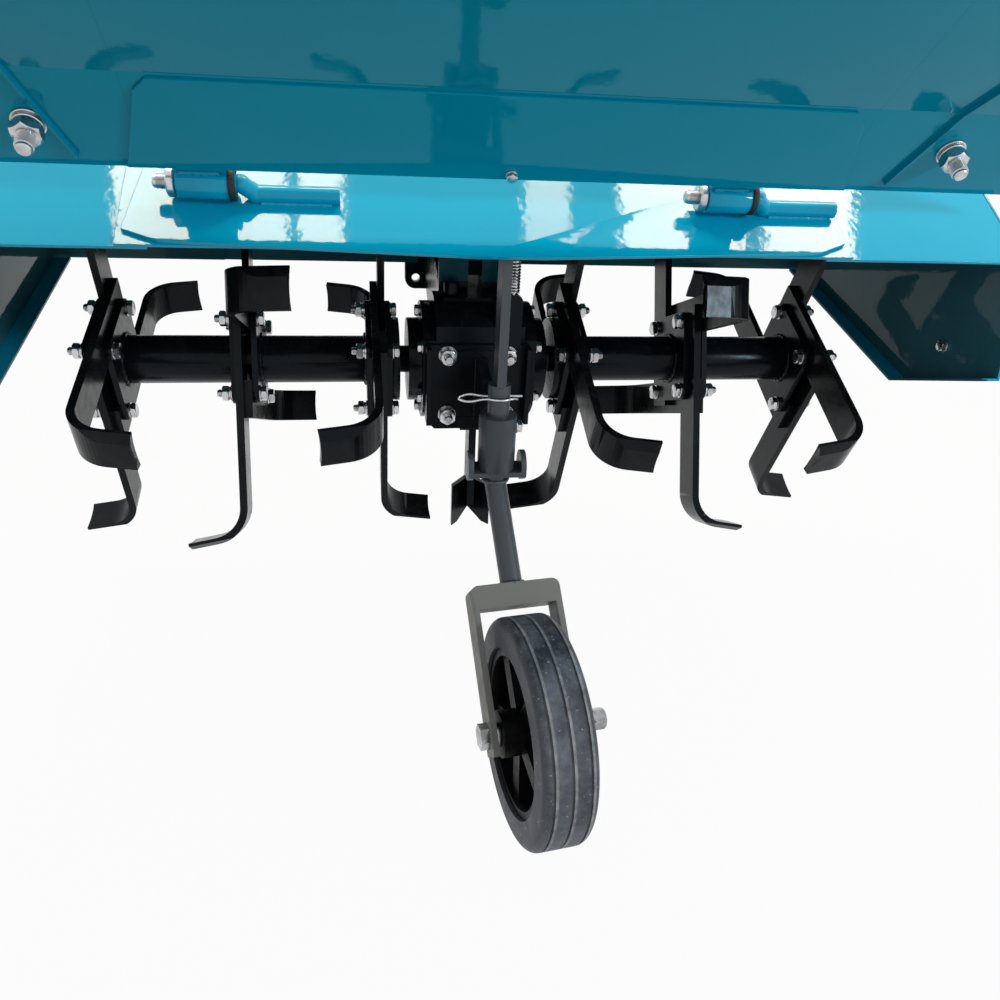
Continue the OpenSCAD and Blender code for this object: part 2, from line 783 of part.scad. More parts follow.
module tines_right(i) { tine_set(flange_at(i), tine_angle_right[i], bends_right[i], layer_right[i]); }

module tines_left_inner() { color(gloss_black) at_rotor() tines_left(0); }

module tines_left_middle() { color(gloss_black) at_rotor() tines_left(1); }

module tines_left_outer() { color(gloss_black) at_rotor() tines_left(2); }

module tines_right_inner() { color(gloss_black) at_rotor() tines_right(0); }

module tines_right_middle() { color(gloss_black) at_rotor() tines_right(1); }

module tines_right_outer() { color(gloss_black) at_rotor() tines_right(2); }

// Stem of the depth wheel, kinked below the socket
clip_lift = 22;
clip_z = socket_top + clip_lift;

module stem() {
    color(satin_grey) at_rotor() difference() {
        union() {
            at_swivel() translate([0, 0, kink_z]) cylinder(d = stem_d, h = stem_top - kink_z);
            at_swivel() translate([0, 0, kink_z]) sphere(d = stem_d + kink_bead);
            on_rake() translate([0, 0, -raked_len]) cylinder(d = stem_d, h = raked_len);
        }
        at_swivel() translate([0, 0, clip_z]) x_cylinder(clip_wire + 2 * weld_gap, -stem_d, stem_d);
    }
}

// Stop plate under the socket with two ears turned up beside it
ear_gap = 6;
ear_w = 34;
ear_in = socket_d / 2 + ear_gap;

module stop_plate() {
    color(satin_grey) at_rotor() at_swivel() translate([0, 0, socket_top - socket_h - seat_gap - stop_t]) {
        difference() {
            translate([-ear_in - stop_t, -ear_w / 2, 0]) cube([2 * (ear_in + stop_t), ear_w, stop_t]);
            translate([0, 0, -1]) cylinder(d = stem_d + 2 * weld_gap, h = stop_t + 2);
        }
        for (s = [0, 1]) mirror([s, 0, 0]) along_x(ear_in, ear_in + stop_t) {
            translate([-ear_w / 2, 0]) square([ear_w, stop_t + ear_h - ear_w / 2]);
            translate([0, stop_t + ear_h - ear_w / 2]) circle(d = ear_w);
        }
    }
}

module lift_bar() {
    color(satin_grey) at_rotor() at_swivel() translate([-lift_t / 2, -lift_depth / 2, stem_top])
        cube([lift_t, lift_depth, lift_top - stem_top]);
}

// Spring clip: one straight leg through the stem, one leg in front of it
clip_reach = 35;
clip_tail = 26;
clip_rise = 8;
clip_front = 20;

module spring_clip() {
    color(zinc) at_rotor() at_swivel() translate([0, 0, clip_z]) {
        x_cylinder(clip_wire, -clip_reach, clip_tail);
        translate([-clip_reach, -clip_rise, 0]) rotate([0, 0, 90]) rotate_extrude(angle = 180)
            translate([clip_rise, 0]) circle(d = clip_wire);
        translate([0, -2 * clip_rise, 0]) x_cylinder(clip_wire, -clip_reach, clip_front);
    }
}

// Fork: a top bar with rounded corners and two legs
module fork_front() {
    h = fork_half;
    r = fork_corner_r;
    foot = raked_len - leg_end;
    difference() {
        union() {
            translate([-h, foot]) square([2 * h, -foot - r]);
            translate([-h + r, foot]) square([2 * (h - r), -foot]);
            for (s = [-1, 1]) translate([s * (h - r), -r]) circle(r);
        }
        translate([-leg_in, foot - 1]) square([2 * leg_in, -foot + 1 - fork_bar_h]);
    }
}

module fork() {
    color(olive_grey) at_rotor() on_rake() translate([0, 0, -raked_len]) difference() {
        translate([0, fork_depth / 2, 0]) rotate([90, 0, 0]) linear_extrude(fork_depth) fork_front();
        translate([0, 0, raked_len - axle_reach])
            x_cylinder(axle_d + 2 * weld_gap, -2 * fork_half, 2 * fork_half);
    }
}

// Axle bolt with its head, nut and the two spacers beside the hub
bolt_head_d = 28;
bolt_head_t = 10;
nut_t = 13;
bolt_tail = 8;
spacer_d = 26;

module axle_bolt() {
    color(zinc) at_rotor() at_axle() {
        x_cylinder(axle_d, -fork_half - bolt_head_t / 2, fork_half + nut_t + bolt_tail);
        translate([-fork_half - bolt_head_t, 0, 0]) rotate([0, 90, 0])
            cylinder(d = bolt_head_d, h = bolt_head_t, $fn = 6);
        translate([fork_half, 0, 0]) rotate([0, 90, 0]) cylinder(d = bolt_head_d, h = nut_t, $fn = 6);
        for (s = [0, 1]) mirror([s, 0, 0]) x_cylinder(spacer_d, hub_l / 2 + washer_gap, leg_in);
    }
}

// Wheel: a spoked rim and a solid tyre
rim_w_half = 25;
rim_t = 9;
web_half = 19;
spoke_w = 22;

module wheel_rim() {
    color(gloss_black) at_rotor() at_axle() difference() {
        union() {
            rotate([0, 90, 0]) rotate_extrude()
                translate([rim_d / 2 - weld_gap - rim_t, -rim_w_half]) square([rim_t, 2 * rim_w_half]);
            x_cylinder(hub_d, -hub_l / 2, hub_l / 2);
            for (i = [0 : spokes - 1]) rotate([i * 360 / spokes, 0, 0])
                translate([-web_half, -spoke_w / 2, hub_d / 4])
                    cube([2 * web_half, spoke_w, (rim_d - rim_t) / 2 - hub_d / 4]);
        }
        x_cylinder(axle_d + 2 * run_gap, -hub_l, hub_l);
    }
}

module wheel_tyre() {
    band = tyre_d / 2 - rubber_in;
    color(rubber) at_rotor() at_axle() rotate([0, 90, 0]) rotate_extrude() difference() {
        union() {
            translate([rubber_in, -tyre_w / 2]) square([band - shoulder_r, tyre_w]);
            translate([rubber_in, -tyre_w / 2 + shoulder_r]) square([band, tyre_w - 2 * shoulder_r]);
            for (s = [-1, 1])
                translate([tyre_d / 2 - shoulder_r, s * (tyre_w / 2 - shoulder_r)]) circle(shoulder_r);
        }
        for (i = [-1 : 1]) translate([tyre_d / 2 - groove_deep, i * groove_pitch - groove_w / 2])
            square([groove_deep + 1, groove_w]);
    }
}

gear_case();
bearing_caps();
rear_bracket();
swivel_socket();
middle_share();
hood_centre();
hood_wing_left();
hood_wing_right();
side_plate_left();
side_plate_right();
hood_brackets();
hinge_plate();
hinge_rods();
lever_plate();
lever_spring();
output_shaft();
rotor_tube_left();
rotor_tube_right();
clamps_left();
clamps_right();
tines_left_inner();
tines_left_middle();
tines_left_outer();
tines_right_inner();
tines_right_middle();
tines_right_outer();
flap_centre();
flap_wing_left();
flap_wing_right();
flap_strip();
flap_barrels();
friction_rings();
stem();
stop_plate();
lift_bar();
spring_clip();
fork();
axle_bolt();
wheel_rim();
wheel_tyre();
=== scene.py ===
import json
import math

import bmesh
import bpy
from mathutils import Matrix, Vector


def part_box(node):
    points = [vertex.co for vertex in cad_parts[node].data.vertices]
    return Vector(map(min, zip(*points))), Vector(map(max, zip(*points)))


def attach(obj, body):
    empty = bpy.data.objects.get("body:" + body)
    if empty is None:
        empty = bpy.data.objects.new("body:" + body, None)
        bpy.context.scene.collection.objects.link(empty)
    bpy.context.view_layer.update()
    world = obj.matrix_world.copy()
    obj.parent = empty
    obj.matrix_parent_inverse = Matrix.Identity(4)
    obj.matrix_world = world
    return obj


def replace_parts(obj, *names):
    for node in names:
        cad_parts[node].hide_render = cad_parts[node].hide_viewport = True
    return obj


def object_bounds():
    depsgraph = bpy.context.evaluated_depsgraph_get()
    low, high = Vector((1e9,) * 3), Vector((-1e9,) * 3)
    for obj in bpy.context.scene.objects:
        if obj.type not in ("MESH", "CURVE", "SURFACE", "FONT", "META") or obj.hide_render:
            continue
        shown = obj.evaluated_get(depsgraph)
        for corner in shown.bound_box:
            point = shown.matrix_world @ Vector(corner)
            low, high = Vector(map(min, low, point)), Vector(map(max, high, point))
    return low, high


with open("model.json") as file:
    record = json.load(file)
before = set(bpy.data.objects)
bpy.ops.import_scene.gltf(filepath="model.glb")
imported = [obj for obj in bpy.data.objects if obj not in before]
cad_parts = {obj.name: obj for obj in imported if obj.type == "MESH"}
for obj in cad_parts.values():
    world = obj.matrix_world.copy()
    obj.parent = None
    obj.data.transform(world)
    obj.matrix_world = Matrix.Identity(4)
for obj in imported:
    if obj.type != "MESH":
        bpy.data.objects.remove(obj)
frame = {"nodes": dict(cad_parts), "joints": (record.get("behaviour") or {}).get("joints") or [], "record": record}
cad_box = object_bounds()

# Places that the frame gives, in metres
JOINTS = {j["name"]: j for j in frame["joints"]}
ROTOR = Vector(JOINTS["rotor_spin"]["pos_m"])
HINGE = Vector(JOINTS["flap_hinge"]["pos_m"])
SWIVEL = Vector(JOINTS["wheel_swivel"]["pos_m"])
WHEEL = Vector(JOINTS["wheel_roll"]["pos_m"])
AXLE = Vector(JOINTS["wheel_roll"]["axis"]).normalized()
FLOOR_Z = cad_box[0].z
HANDS = (("left", -1), ("right", 1))

# Rotor: each flange is a stack of two clamp plates with tines between them
STACK_HALF = 0.0161
TINE_PHASES = {"left": (19, 68, 19), "right": (24, 69, 26)}
FLANGE_NAMES = ("inner", "middle", "outer")
TUBE_R = 0.030

# Sheets: the rear slope with its hinge plate, and the raised flap's lower band
SHEET_T = 0.003
SLOPE = math.radians(32.5)
SLOPE_DOWN = Vector((0, -math.cos(SLOPE), -math.sin(SLOPE)))
SLOPE_OUT = Vector((0, -math.sin(SLOPE), math.cos(SLOPE)))
BAND_ANGLE = math.radians(52)
BAND_UP = Vector((0, -math.cos(BAND_ANGLE), math.sin(BAND_ANGLE)))
BAND_OUT = Vector((0, -math.sin(BAND_ANGLE), -math.cos(BAND_ANGLE)))
BAND_FOOT = HINGE + Vector((0, -0.022, 0.017))
PLATE_BELOW_HINGE = 0.018
HINGE_X = (-0.294, 0.238)
BARREL_HALF = 0.024

# Bracket, bearing caps, socket with its arm, stem and tyre
BRACKET_T = 0.006
CAP_BOSS = 0.017
SOCKET_R = 0.0212
SOCKET_TOP = 0.003
ARM_HALF = 0.006
ARM_REAR = (-0.028, 0.0)
ARM_FRONT = (-0.060, 0.024)
STEM_R = 0.0125
KINK = Vector((0, SWIVEL.y, ROTOR.z - 0.077))
RAKED_LEN = 0.124
TYRE_R = 0.122
GROOVE_PITCH = 0.019

# Metric fasteners: thread, width over the flats, height of the nut, washer
M6 = {"d": 0.006, "flats": 0.010, "height": 0.005, "washer": 0.012, "washer_t": 0.0015}
M8 = {"d": 0.008, "flats": 0.013, "height": 0.0065, "washer": 0.016, "washer_t": 0.0016}
M10 = {"d": 0.010, "flats": 0.017, "height": 0.008, "washer": 0.020, "washer_t": 0.002}
M12 = {"d": 0.012, "flats": 0.019, "height": 0.0095, "washer": 0.0235, "washer_t": 0.0024}
M16 = {"d": 0.016, "flats": 0.024, "height": 0.012, "washer": 0.029, "washer_t": 0.0025}


# Materials

DUST = (0.30, 0.28, 0.25)
GRIT = (0.48, 0.48, 0.47)
GROOVE_DUST = 0.002


class Shader:
    """A node material with a few short ways to add nodes."""

    def __init__(self, name):
        self.material = bpy.data.materials.new(name)
        self.material.use_nodes = True
        self.tree = self.material.node_tree
        self.bsdf = self.tree.nodes["Principled BSDF"]
        self.coords = self.add("ShaderNodeTexCoord").outputs["Object"]

    def add(self, kind, **settings):
        node = self.tree.nodes.new(kind)
        for key, value in settings.items():
            setattr(node, key, value)
        return node

    def put(self, socket, value):
        """Sets a socket, or links one to it."""
        if isinstance(value, bpy.types.NodeSocket):
            self.tree.links.new(value, socket)
        else:
            socket.default_value = value

    def noise(self, scale, detail=3.0, rough=0.5):
        node = self.add("ShaderNodeTexNoise")
        self.put(node.inputs["Vector"], self.coords)
        self.put(node.inputs["Scale"], scale)
        self.put(node.inputs["Detail"], detail)
        self.put(node.inputs["Roughness"], rough)
        return node.outputs["Fac"]

    def span(self, value, low, high, to_low=0.0, to_high=1.0):
        node = self.add("ShaderNodeMapRange")
        for name, given in (("Value", value), ("From Min", low), ("From Max", high),
                            ("To Min", to_low), ("To Max", to_high)):
            self.put(node.inputs[name], given)
        return node.outputs["Result"]

    def mix(self, share, first, second):
        node = self.add("ShaderNodeMix", data_type="RGBA")
        self.put(node.inputs[0], share)
        for index, value in ((6, first), (7, second)):
            linked = isinstance(value, bpy.types.NodeSocket)
            self.put(node.inputs[index], value if linked else (*value, 1.0))
        return node.outputs[2]

    def math(self, operation, first, second):
        node = self.add("ShaderNodeMath", operation=operation)
        self.put(node.inputs[0], first)
        self.put(node.inputs[1], second)
        return node.outputs[0]

    def vector(self, operation, first, second):
        node = self.add("ShaderNodeVectorMath", operation=operation)
        self.put(node.inputs[0], first)
        self.put(node.inputs[1], second)
        return node.outputs["Value" if operation == "DOT_PRODUCT" else "Vector"]

    def part_of(self, vector, axis):
        node = self.add("ShaderNodeSeparateXYZ")
        self.put(node.inputs[0], vector)
        return node.outputs[axis]

    def normal(self):
        return self.add("ShaderNodeNewGeometry").outputs["Normal"]

    def facing_up(self):
        """One on level tops, nought on walls and undersides."""
        return self.span(self.part_of(self.normal(), "Z"), 0.15, 0.9)

    def facing_rotor(self):
        """One on the hood's inner faces, which look at the rotor, nought on its outer faces."""
        outward = self.vector("DOT_PRODUCT", self.vector("SUBTRACT", self.coords, ROTOR), self.normal())
        return self.span(outward, 0.02, -0.06)

    def ahead_of(self, y):
        """One ahead of y, nought behind it."""
        return self.span(self.part_of(self.coords, "Y"), y, y + 0.001)

    def on_tread(self):
        """One on the tyre's tread, nought on its sides; and one along the right edge of each groove."""
        from_hub = self.vector("SUBTRACT", self.coords, WHEEL)
        along = self.vector("DOT_PRODUCT", from_hub, AXLE)
        reach = self.vector("DOT_PRODUCT", from_hub, from_hub)
        square = self.math("SUBTRACT", reach, self.math("MULTIPLY", along, along))
        tread = self.span(self.math("SQRT", square, 0.0), TYRE_R - 0.006, TYRE_R - 0.001)
        beside = self.math("SUBTRACT", along, GROOVE_DUST)
        edge = self.span(self.math("PINGPONG", beside, GROOVE_PITCH / 2), 0.0026, 0.0012)
        return tread, self.math("MULTIPLY", edge, tread)

    def bump(self, height, strength, distance, normal=None):
        node = self.add("ShaderNodeBump")
        self.put(node.inputs["Height"], height)
        self.put(node.inputs["Strength"], strength)
        self.put(node.inputs["Distance"], distance)
        if normal:
            self.put(node.inputs["Normal"], normal)
        return node.outputs["Normal"]

    def finish(self, **values):
        for name, value in values.items():
            self.put(self.bsdf.inputs[name.replace("_", " ")], value)
        return self.material


def paint(name, colour, shade, rough, peel, dust, soil=0.0, inside=None, ahead=None, **values):
    """Paint with uneven colour, orange peel of three sizes, dust on its tops and dried soil in patches.
    Faces that look at the rotor are made darker and less glossy in the given inner colour, as painted shade,
    if one is given, and what lies ahead of a place takes another colour."""
    s = Shader(name)
    broad = s.noise(3.0, 3.0)
    fine = s.noise(75.0, 4.0, 0.6)
    body = s.mix(s.span(broad, 0.35, 0.68), colour, shade)
    if soil:
        patch = s.span(s.noise(16.0, 5.0, 0.62), 0.5, 0.72)
        body = s.mix(s.math("MULTIPLY", patch, soil), body, DUST)
    # Painted shade: the hood's faces towards the rotor lie in shade, so they turn darker and less glossy.
    if inside:
        inner_shade = s.facing_rotor()
        body = s.mix(inner_shade, body, s.mix(broad, inside, [0.6 * c for c in inside]))
        values["Specular_IOR_Level"] = s.span(inner_shade, 0.0, 1.0, 0.5, 0.16)
    if ahead:
        body = s.mix(s.ahead_of(ahead[0]), body, ahead[1])
    speck = s.math("MULTIPLY", s.facing_up(), s.span(fine, 0.45, 0.75))
    dusty = s.math("MULTIPLY", speck, dust)
    waves = s.bump(s.noise(38.0, 2.0), peel * 0.8, 0.002)
    ripples = s.bump(s.noise(130.0, 2.0), peel * 0.6, 0.001, waves)
    grain = s.bump(s.noise(420.0, 2.0), peel * 0.15, 0.0006, ripples)
    return s.finish(
        Base_Color=s.mix(dusty, body, DUST),
        Roughness=s.span(fine, 0.3, 0.75, rough * 0.8, rough * 1.35),
        Normal=grain, **values)


def metal(name, colour, shade, rough):
    """Bright plated steel with faint cloudy stains and fine turning marks."""
    s = Shader(name)
    cloud = s.noise(60.0, 4.0, 0.6)
    fine = s.noise(900.0, 2.0)
    return s.finish(
        Base_Color=s.mix(s.span(cloud, 0.4, 0.7), colour, shade),
        Roughness=s.span(cloud, 0.3, 0.75, rough * 0.7, rough * 1.5),
        Normal=s.bump(fine, 0.12, 0.0003), Metallic=1.0)


def rubber(name, colour, dust_and_sheen_colour, dust, grooves=False):
    """Matt rubber with dust in patches, pale grit and, on a tyre, dust along its grooves; on a tyre the pale
    patches are partly dust and partly a painted sheen, full on the tread and weaker on the sidewalls as painted
    shade.
    """
    s = Shader(name)
    patch = s.span(s.noise(22.0, 6.0, 0.7), 0.42, 0.74)
    grit = s.span(s.noise(230.0, 2.0), 0.69, 0.74)
    fine = s.noise(500.0, 3.0)
    dusty = s.math("MULTIPLY", patch, dust)
    if grooves:
        tread, edge = s.on_tread()
        # The tread takes the pale layer in full and the sidewalls only in part: painted sheen on the tread,
        # painted shade on the sidewalls.
        dusty = s.math("MULTIPLY", dusty, s.span(tread, 0.0, 1.0, 0.3, 1.0))
        uneven = s.span(s.noise(60.0, 5.0, 0.65), 0.36, 0.62, 0.25, 0.95)
        body = s.mix(s.math("MULTIPLY", edge, uneven), s.mix(dusty, colour, dust_and_sheen_colour), GRIT)
    else:
        body = s.mix(dusty, colour, dust_and_sheen_colour)
    return s.finish(
        Base_Color=s.mix(s.math("MULTIPLY", grit, dust), body, GRIT),
        Roughness=s.span(patch, 0.0, 1.0, 0.5, 0.8),
        Normal=s.bump(fine, 0.3, 0.0005))


BLACK = (0.005, 0.0065, 0.0085)
GLOSSY_BLACK = {"Specular_IOR_Level": 0.13, "Specular_Tint": (0.8, 0.93, 1.0, 1.0)}
TEAL = {"colour": (0.0, 0.46, 0.70), "shade": (0.0, 0.42, 0.64), "rough": 0.04, "peel": 0.1, "dust": 0.02,
        "Specular_Tint": (0.48, 0.46, 0.3, 1.0)}
PAINTS = {
    "teal_paint": TEAL,
    # The hood's paint, with painted shade on its faces towards the rotor.
    "hood_paint": {**TEAL, "inside": (0.06, 0.23, 0.285)},
    # The flap's paint is the hood's teal made darker and less glossy: painted shade.
    "shaded_flap_paint": {"colour": (0.0, 0.31, 0.45), "shade": (0.0, 0.285, 0.425), "rough": 0.045, "peel": 0.05,
                   "dust": 0.02, "Specular_IOR_Level": 0.36, "Specular_Tint": (0.12, 0.9, 1.0, 1.0)},
    # The hood brackets take the hood's teal made dark: painted shade.
    "shaded_stay_paint": {"colour": (0.0, 0.09, 0.13), "shade": (0.0, 0.07, 0.1), "rough": 0.2, "peel": 0.06,
                   "dust": 0.05, "soil": 0.1, **GLOSSY_BLACK},
    "black_paint": {"colour": BLACK, "shade": (0.0085, 0.010, 0.0125), "rough": 0.24, "peel": 0.1,
                    "dust": 0.03, **GLOSSY_BLACK},
    "tine_paint": {"colour": (0.0045, 0.0055, 0.0065), "shade": (0.008, 0.009, 0.0098), "rough": 0.22,
                   "peel": 0.1, "dust": 0.04, "soil": 0.04, **GLOSSY_BLACK},
    "grey_paint": {"colour": (0.064, 0.074, 0.084), "shade": (0.083, 0.093, 0.103), "rough": 0.36,
                   "peel": 0.1, "dust": 0.06},
    "socket_paint": {"colour": (0.070, 0.080, 0.090), "shade": (0.09, 0.10, 0.11), "rough": 0.36, "peel": 0.1,
                     "dust": 0.06, "ahead": (SWIVEL.y + SOCKET_R, BLACK), "Specular_IOR_Level": 0.3},
    "olive_paint": {"colour": (0.315, 0.30, 0.262), "shade": (0.355, 0.34, 0.30), "rough": 0.42, "peel": 0.12,
                    "dust": 0.08, "Specular_IOR_Level": 0.12},
    "black_plastic": {"colour": (0.002, 0.002, 0.0025), "shade": (0.004, 0.004, 0.0045), "rough": 0.35,
                      "peel": 0.1, "dust": 0.01, "Specular_IOR_Level": 0.04},
}
MATERIALS = {name: paint(name, **look) for name, look in PAINTS.items()}
MATERIALS.update({
    "zinc": metal("zinc", (0.60, 0.61, 0.63), (0.44, 0.44, 0.43), 0.26),
    # Darker zinc for the axle bolt and nut, which face the bright floor: painted shade.
    "shaded_zinc": metal("shaded_zinc", (0.42, 0.43, 0.44), (0.19, 0.19, 0.185), 0.26),
    "black_rubber": rubber("black_rubber", (0.008, 0.008, 0.009), (0.03, 0.03, 0.03), 0.15),
    # The tyre's pale bluish layer is partly dust and partly a painted sheen.
    "tyre_rubber": rubber("tyre_rubber", (0.040, 0.046, 0.060), (0.33, 0.35, 0.39), 0.8, grooves=True),
})


# Mesh helpers: every solid is lofted through rings of points

SIDES = 36
WIRE_SIDES = 8
ROD_SIDES = 14
CLIP_SIDES = 12
SMOOTH_ANGLE = 35
THREAD_PITCH = 0.0015


def circle(radius, z, count=SIDES):
    turns = [2 * math.pi * i / count for i in range(count)]
    return [(radius * math.cos(a), radius * math.sin(a), z) for a in turns]


def hexagon(flats, z, corner_drop):
    """Ring round a hexagon whose corners lie corner_drop lower, as a chamfer leaves them."""
    points = []
    widest = 1 / math.cos(math.pi / 6) - 1
    for i in range(SIDES):
        a = 2 * math.pi * i / SIDES
        reach = 1 / math.cos((a + math.pi / 6) % (math.pi / 3) - math.pi / 6)
        r = flats / 2 * reach
        points.append((r * math.cos(a), r * math.sin(a), z - corner_drop * (reach - 1) / widest))
    return points


def loft(bm, place, rings, closed=False):
    """Skins rings of equally many points; the ends are capped, or joined where the loft is closed."""
    made = [[bm.verts.new(place @ Vector(p)) for p in ring] for ring in rings]
    pairs = list(zip(made, made[1:]))
    if closed:
        pairs.append((made[-1], made[0]))
    for low, high in pairs:
        for i in range(len(low)):
            j = (i + 1) % len(low)
            bm.faces.new((low[i], low[j], high[j], high[i]))
    if not closed:
        bm.faces.new(list(reversed(made[0])))
        bm.faces.new(made[-1])


def nut(bm, place, flats, height):
    chamfer = height * 0.16
    face = flats * 0.475
    loft(bm, place, [circle(face, 0.0), hexagon(flats, chamfer * 0.2, -chamfer),
                     hexagon(flats, height - chamfer * 0.2, chamfer), circle(face, height)])


def washer(bm, place, outer, thick):
    edge = thick * 0.2
    loft(bm, place, [circle(outer / 2 - edge, 0.0), circle(outer / 2, edge),
                     circle(outer / 2, thick - edge), circle(outer / 2 - edge, thick)])


def thread(bm, place, d, start, end):
    """Screw thread drawn as ridges, with a chamfered end."""
    crest, root, tip = d * 0.5, d * 0.43, d * 0.36
    rings = [circle(root, start)]
    for i in range(int((end - start - d * 0.15) / THREAD_PITCH)):
        z = start + i * THREAD_PITCH
        rings += [circle(crest, z + THREAD_PITCH * 0.4), circle(crest, z + THREAD_PITCH * 0.55),
                  circle(root, z + THREAD_PITCH)]
    rings += [circle(root, end - d * 0.08), circle(tip, end)]
    loft(bm, place, rings)


def stud(bm, place, size, stub):
    """Washer, spring washer, nut and the end of a stud, standing on the XY plane of place."""
    z = size["washer_t"]
    spring_t = size["d"] * 0.22
    washer(bm, place, size["washer"], z)
    washer(bm, place @ Matrix.Translation((0, 0, z)), size["d"] * 1.6, spring_t)
    z += spring_t
    nut(bm, place @ Matrix.Translation((0, 0, z)), size["flats"], size["height"])
    thread(bm, place, size["d"], z + size["height"] * 0.8, z + size["height"] + stub)


def bolt_head(bm, place, size):
    """Washer and hexagon head, standing on the XY plane of place."""
    washer(bm, place, size["washer"], size["washer_t"])
    nut(bm, place @ Matrix.Translation((0, 0, size["washer_t"])), size["flats"], size["height"] * 0.85)


def sweep(bm, points, radii, sides, closed=False):
    """Round bar along points, with one radius for each."""
    rings = []
    count = len(points)
    side = None
    for i, p in enumerate(points):
        before = points[(i - 1) % count] if closed else points[max(i - 1, 0)]
        after = points[(i + 1) % count] if closed else points[min(i + 1, count - 1)]
        along = (after - before).normalized()
        if side is None:
            side = along.orthogonal().normalized()
        side = (side - along * side.dot(along)).normalized()
        other = along.cross(side)
        rings.append([p + radii[i] * (math.cos(a) * side + math.sin(a) * other)
                      for a in (2 * math.pi * k / sides for k in range(sides))])
    loft(bm, Matrix.Identity(4), rings, closed)


def bead(bm, points, radius, closed=False):
    """Weld bead along points, scaled like a row of coins."""
    swell = [1.0 + 0.16 * math.sin(i * 1.9) + 0.08 * math.sin(i * 0.7) for i in range(len(points))]
    sweep(bm, points, [radius * s for s in swell], WIRE_SIDES, closed)


def through(points, steps):
    """Smooth curve through points."""
    ends = [points[0]] + list(points) + [points[-1]]
    curve = []
    for p, q, r, s in zip(ends, ends[1:], ends[2:], ends[3:]):
        for i in range(steps):
            t = i / steps
            curve.append(0.5 * (2 * q + (r - p) * t + (2 * p - 5 * q + 4 * r - s) * t ** 2
                                + (3 * q - p - 3 * r + s) * t ** 3))
    return curve + [points[-1]]


def standing(origin, axis):
    """Matrix at origin whose Z points along axis."""
    turn = Vector(axis).normalized().to_track_quat("Z", "Y").to_matrix().to_4x4()
    return Matrix.Translation(Vector(origin)) @ turn


def ring_points(centre, axis, radius, count):
    place = standing(centre, axis)
    return [place @ Vector(p) for p in circle(radius, 0.0, count)]


def piece(name, bm, body, slot, smooth=SMOOTH_ANGLE, look=None):
    """Turns a bmesh into a piece that rides on a body and takes its slot's material, or another look."""
    bmesh.ops.recalc_face_normals(bm, faces=bm.faces)
    mesh = bpy.data.meshes.new(name)
    bm.to_mesh(mesh)
    bm.free()
    mesh.polygons.foreach_set("use_smooth", [True] * len(mesh.polygons))
    mesh.set_sharp_from_angle(angle=math.radians(smooth))
    mesh.materials.append(MATERIALS[look or slot])
    obj = bpy.data.objects.new(name, mesh)
    bpy.context.scene.collection.objects.link(obj)
    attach(obj, body)
    return obj


# CAD nodes: each takes its slot's material or the look of its name's start, and its sharp edges are broken

MERGE_DISTANCE = 1e-5
EDGE_BREAK = 0.0006
EDGE_ANGLE = math.radians(38)
LOOKS = (("tines_", "tine_paint"), ("middle_share", "tine_paint"), ("swivel_socket", "socket_paint"),
         ("axle_bolt", "shaded_zinc"), ("hood_brackets", "shaded_stay_paint"), ("hood_", "hood_paint"),
         ("side_plate_", "hood_paint"), ("flap_centre", "shaded_flap_paint"), ("flap_wing_", "shaded_flap_paint"),
         ("flap_strip", "shaded_flap_paint"))
UNBROKEN = {"hinge_rods", "stem", "spring_clip", "lever_spring", "wheel_tyre",
            "flap_centre", "flap_wing_left", "flap_wing_right"}


def dress_nodes():
    slots = {p["node"]: p["material_slot"] for p in frame["record"]["subparts"]}
    for name, obj in frame["nodes"].items():
        look = next((look for start, look in LOOKS if name.startswith(start)), slots[name])
        obj.data.materials.clear()
        obj.data.materials.append(MATERIALS[look])
        if name in UNBROKEN:
            continue
        weld = obj.modifiers.new("weld", "WELD")
        weld.merge_threshold = MERGE_DISTANCE
        bevel = obj.modifiers.new("edge", "BEVEL")
        bevel.width = EDGE_BREAK
        bevel.segments = 2
        bevel.limit_method = "ANGLE"
        bevel.angle_limit = EDGE_ANGLE
        bevel.harden_normals = True


# Fasteners

TINE_BOLT = 0.0455
TINE_STUB = 0.006


def flange_places(side):
    """Distances of a side's three tine flanges from the middle."""
    low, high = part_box("clamps_" + side)
    near, far = sorted((abs(low.x), abs(high.x)))
    first, last = near + STACK_HALF, far - STACK_HALF
    return first, (first + last) / 2, last


def tine_bolts():
    """Four bolts through the corners of each pair of clamp plates, heads inboard."""
    for side, sign in HANDS:
        for name, phase, x in zip(FLANGE_NAMES, TINE_PHASES[side], flange_places(side)):
            bm = bmesh.new()
            turn = Matrix.Rotation(math.radians(phase), 3, "X")
            for y in (-1, 1):
                for z in (-1, 1):
                    arm = turn @ Vector((0, y * TINE_BOLT, z * TINE_BOLT))
                    inboard = ROTOR + arm + Vector((sign * (x - STACK_HALF), 0, 0))
                    outboard = ROTOR + arm + Vector((sign * (x + STACK_HALF), 0, 0))
                    bolt_head(bm, standing(inboard, (-sign, 0, 0)), M10)
                    stud(bm, standing(outboard, (sign, 0, 0)), M10, TINE_STUB)
            piece(f"tine_bolts_{side}_{name}", bm, "rotor", "zinc")


BRACKET_PITCH = 0.076
BRACKET_RISE = 0.078
BRACKET_BOLT_LOW = -0.051
BRACKET_STUB = 0.011


def bracket_studs():
    """Four studs through the holes of the rear bracket."""
    bm = bmesh.new()
    low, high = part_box("rear_bracket")
    middle = (low.x + high.x) / 2
    for x in (-1, 1):
        for z in (0, 1):
            spot = (middle + x * BRACKET_PITCH / 2, high.y - BRACKET_T,
                    ROTOR.z + BRACKET_BOLT_LOW + z * BRACKET_RISE)
            stud(bm, standing(spot, (0, -1, 0)), M12, BRACKET_STUB)
    piece("bracket_studs", bm, "frame", "zinc")


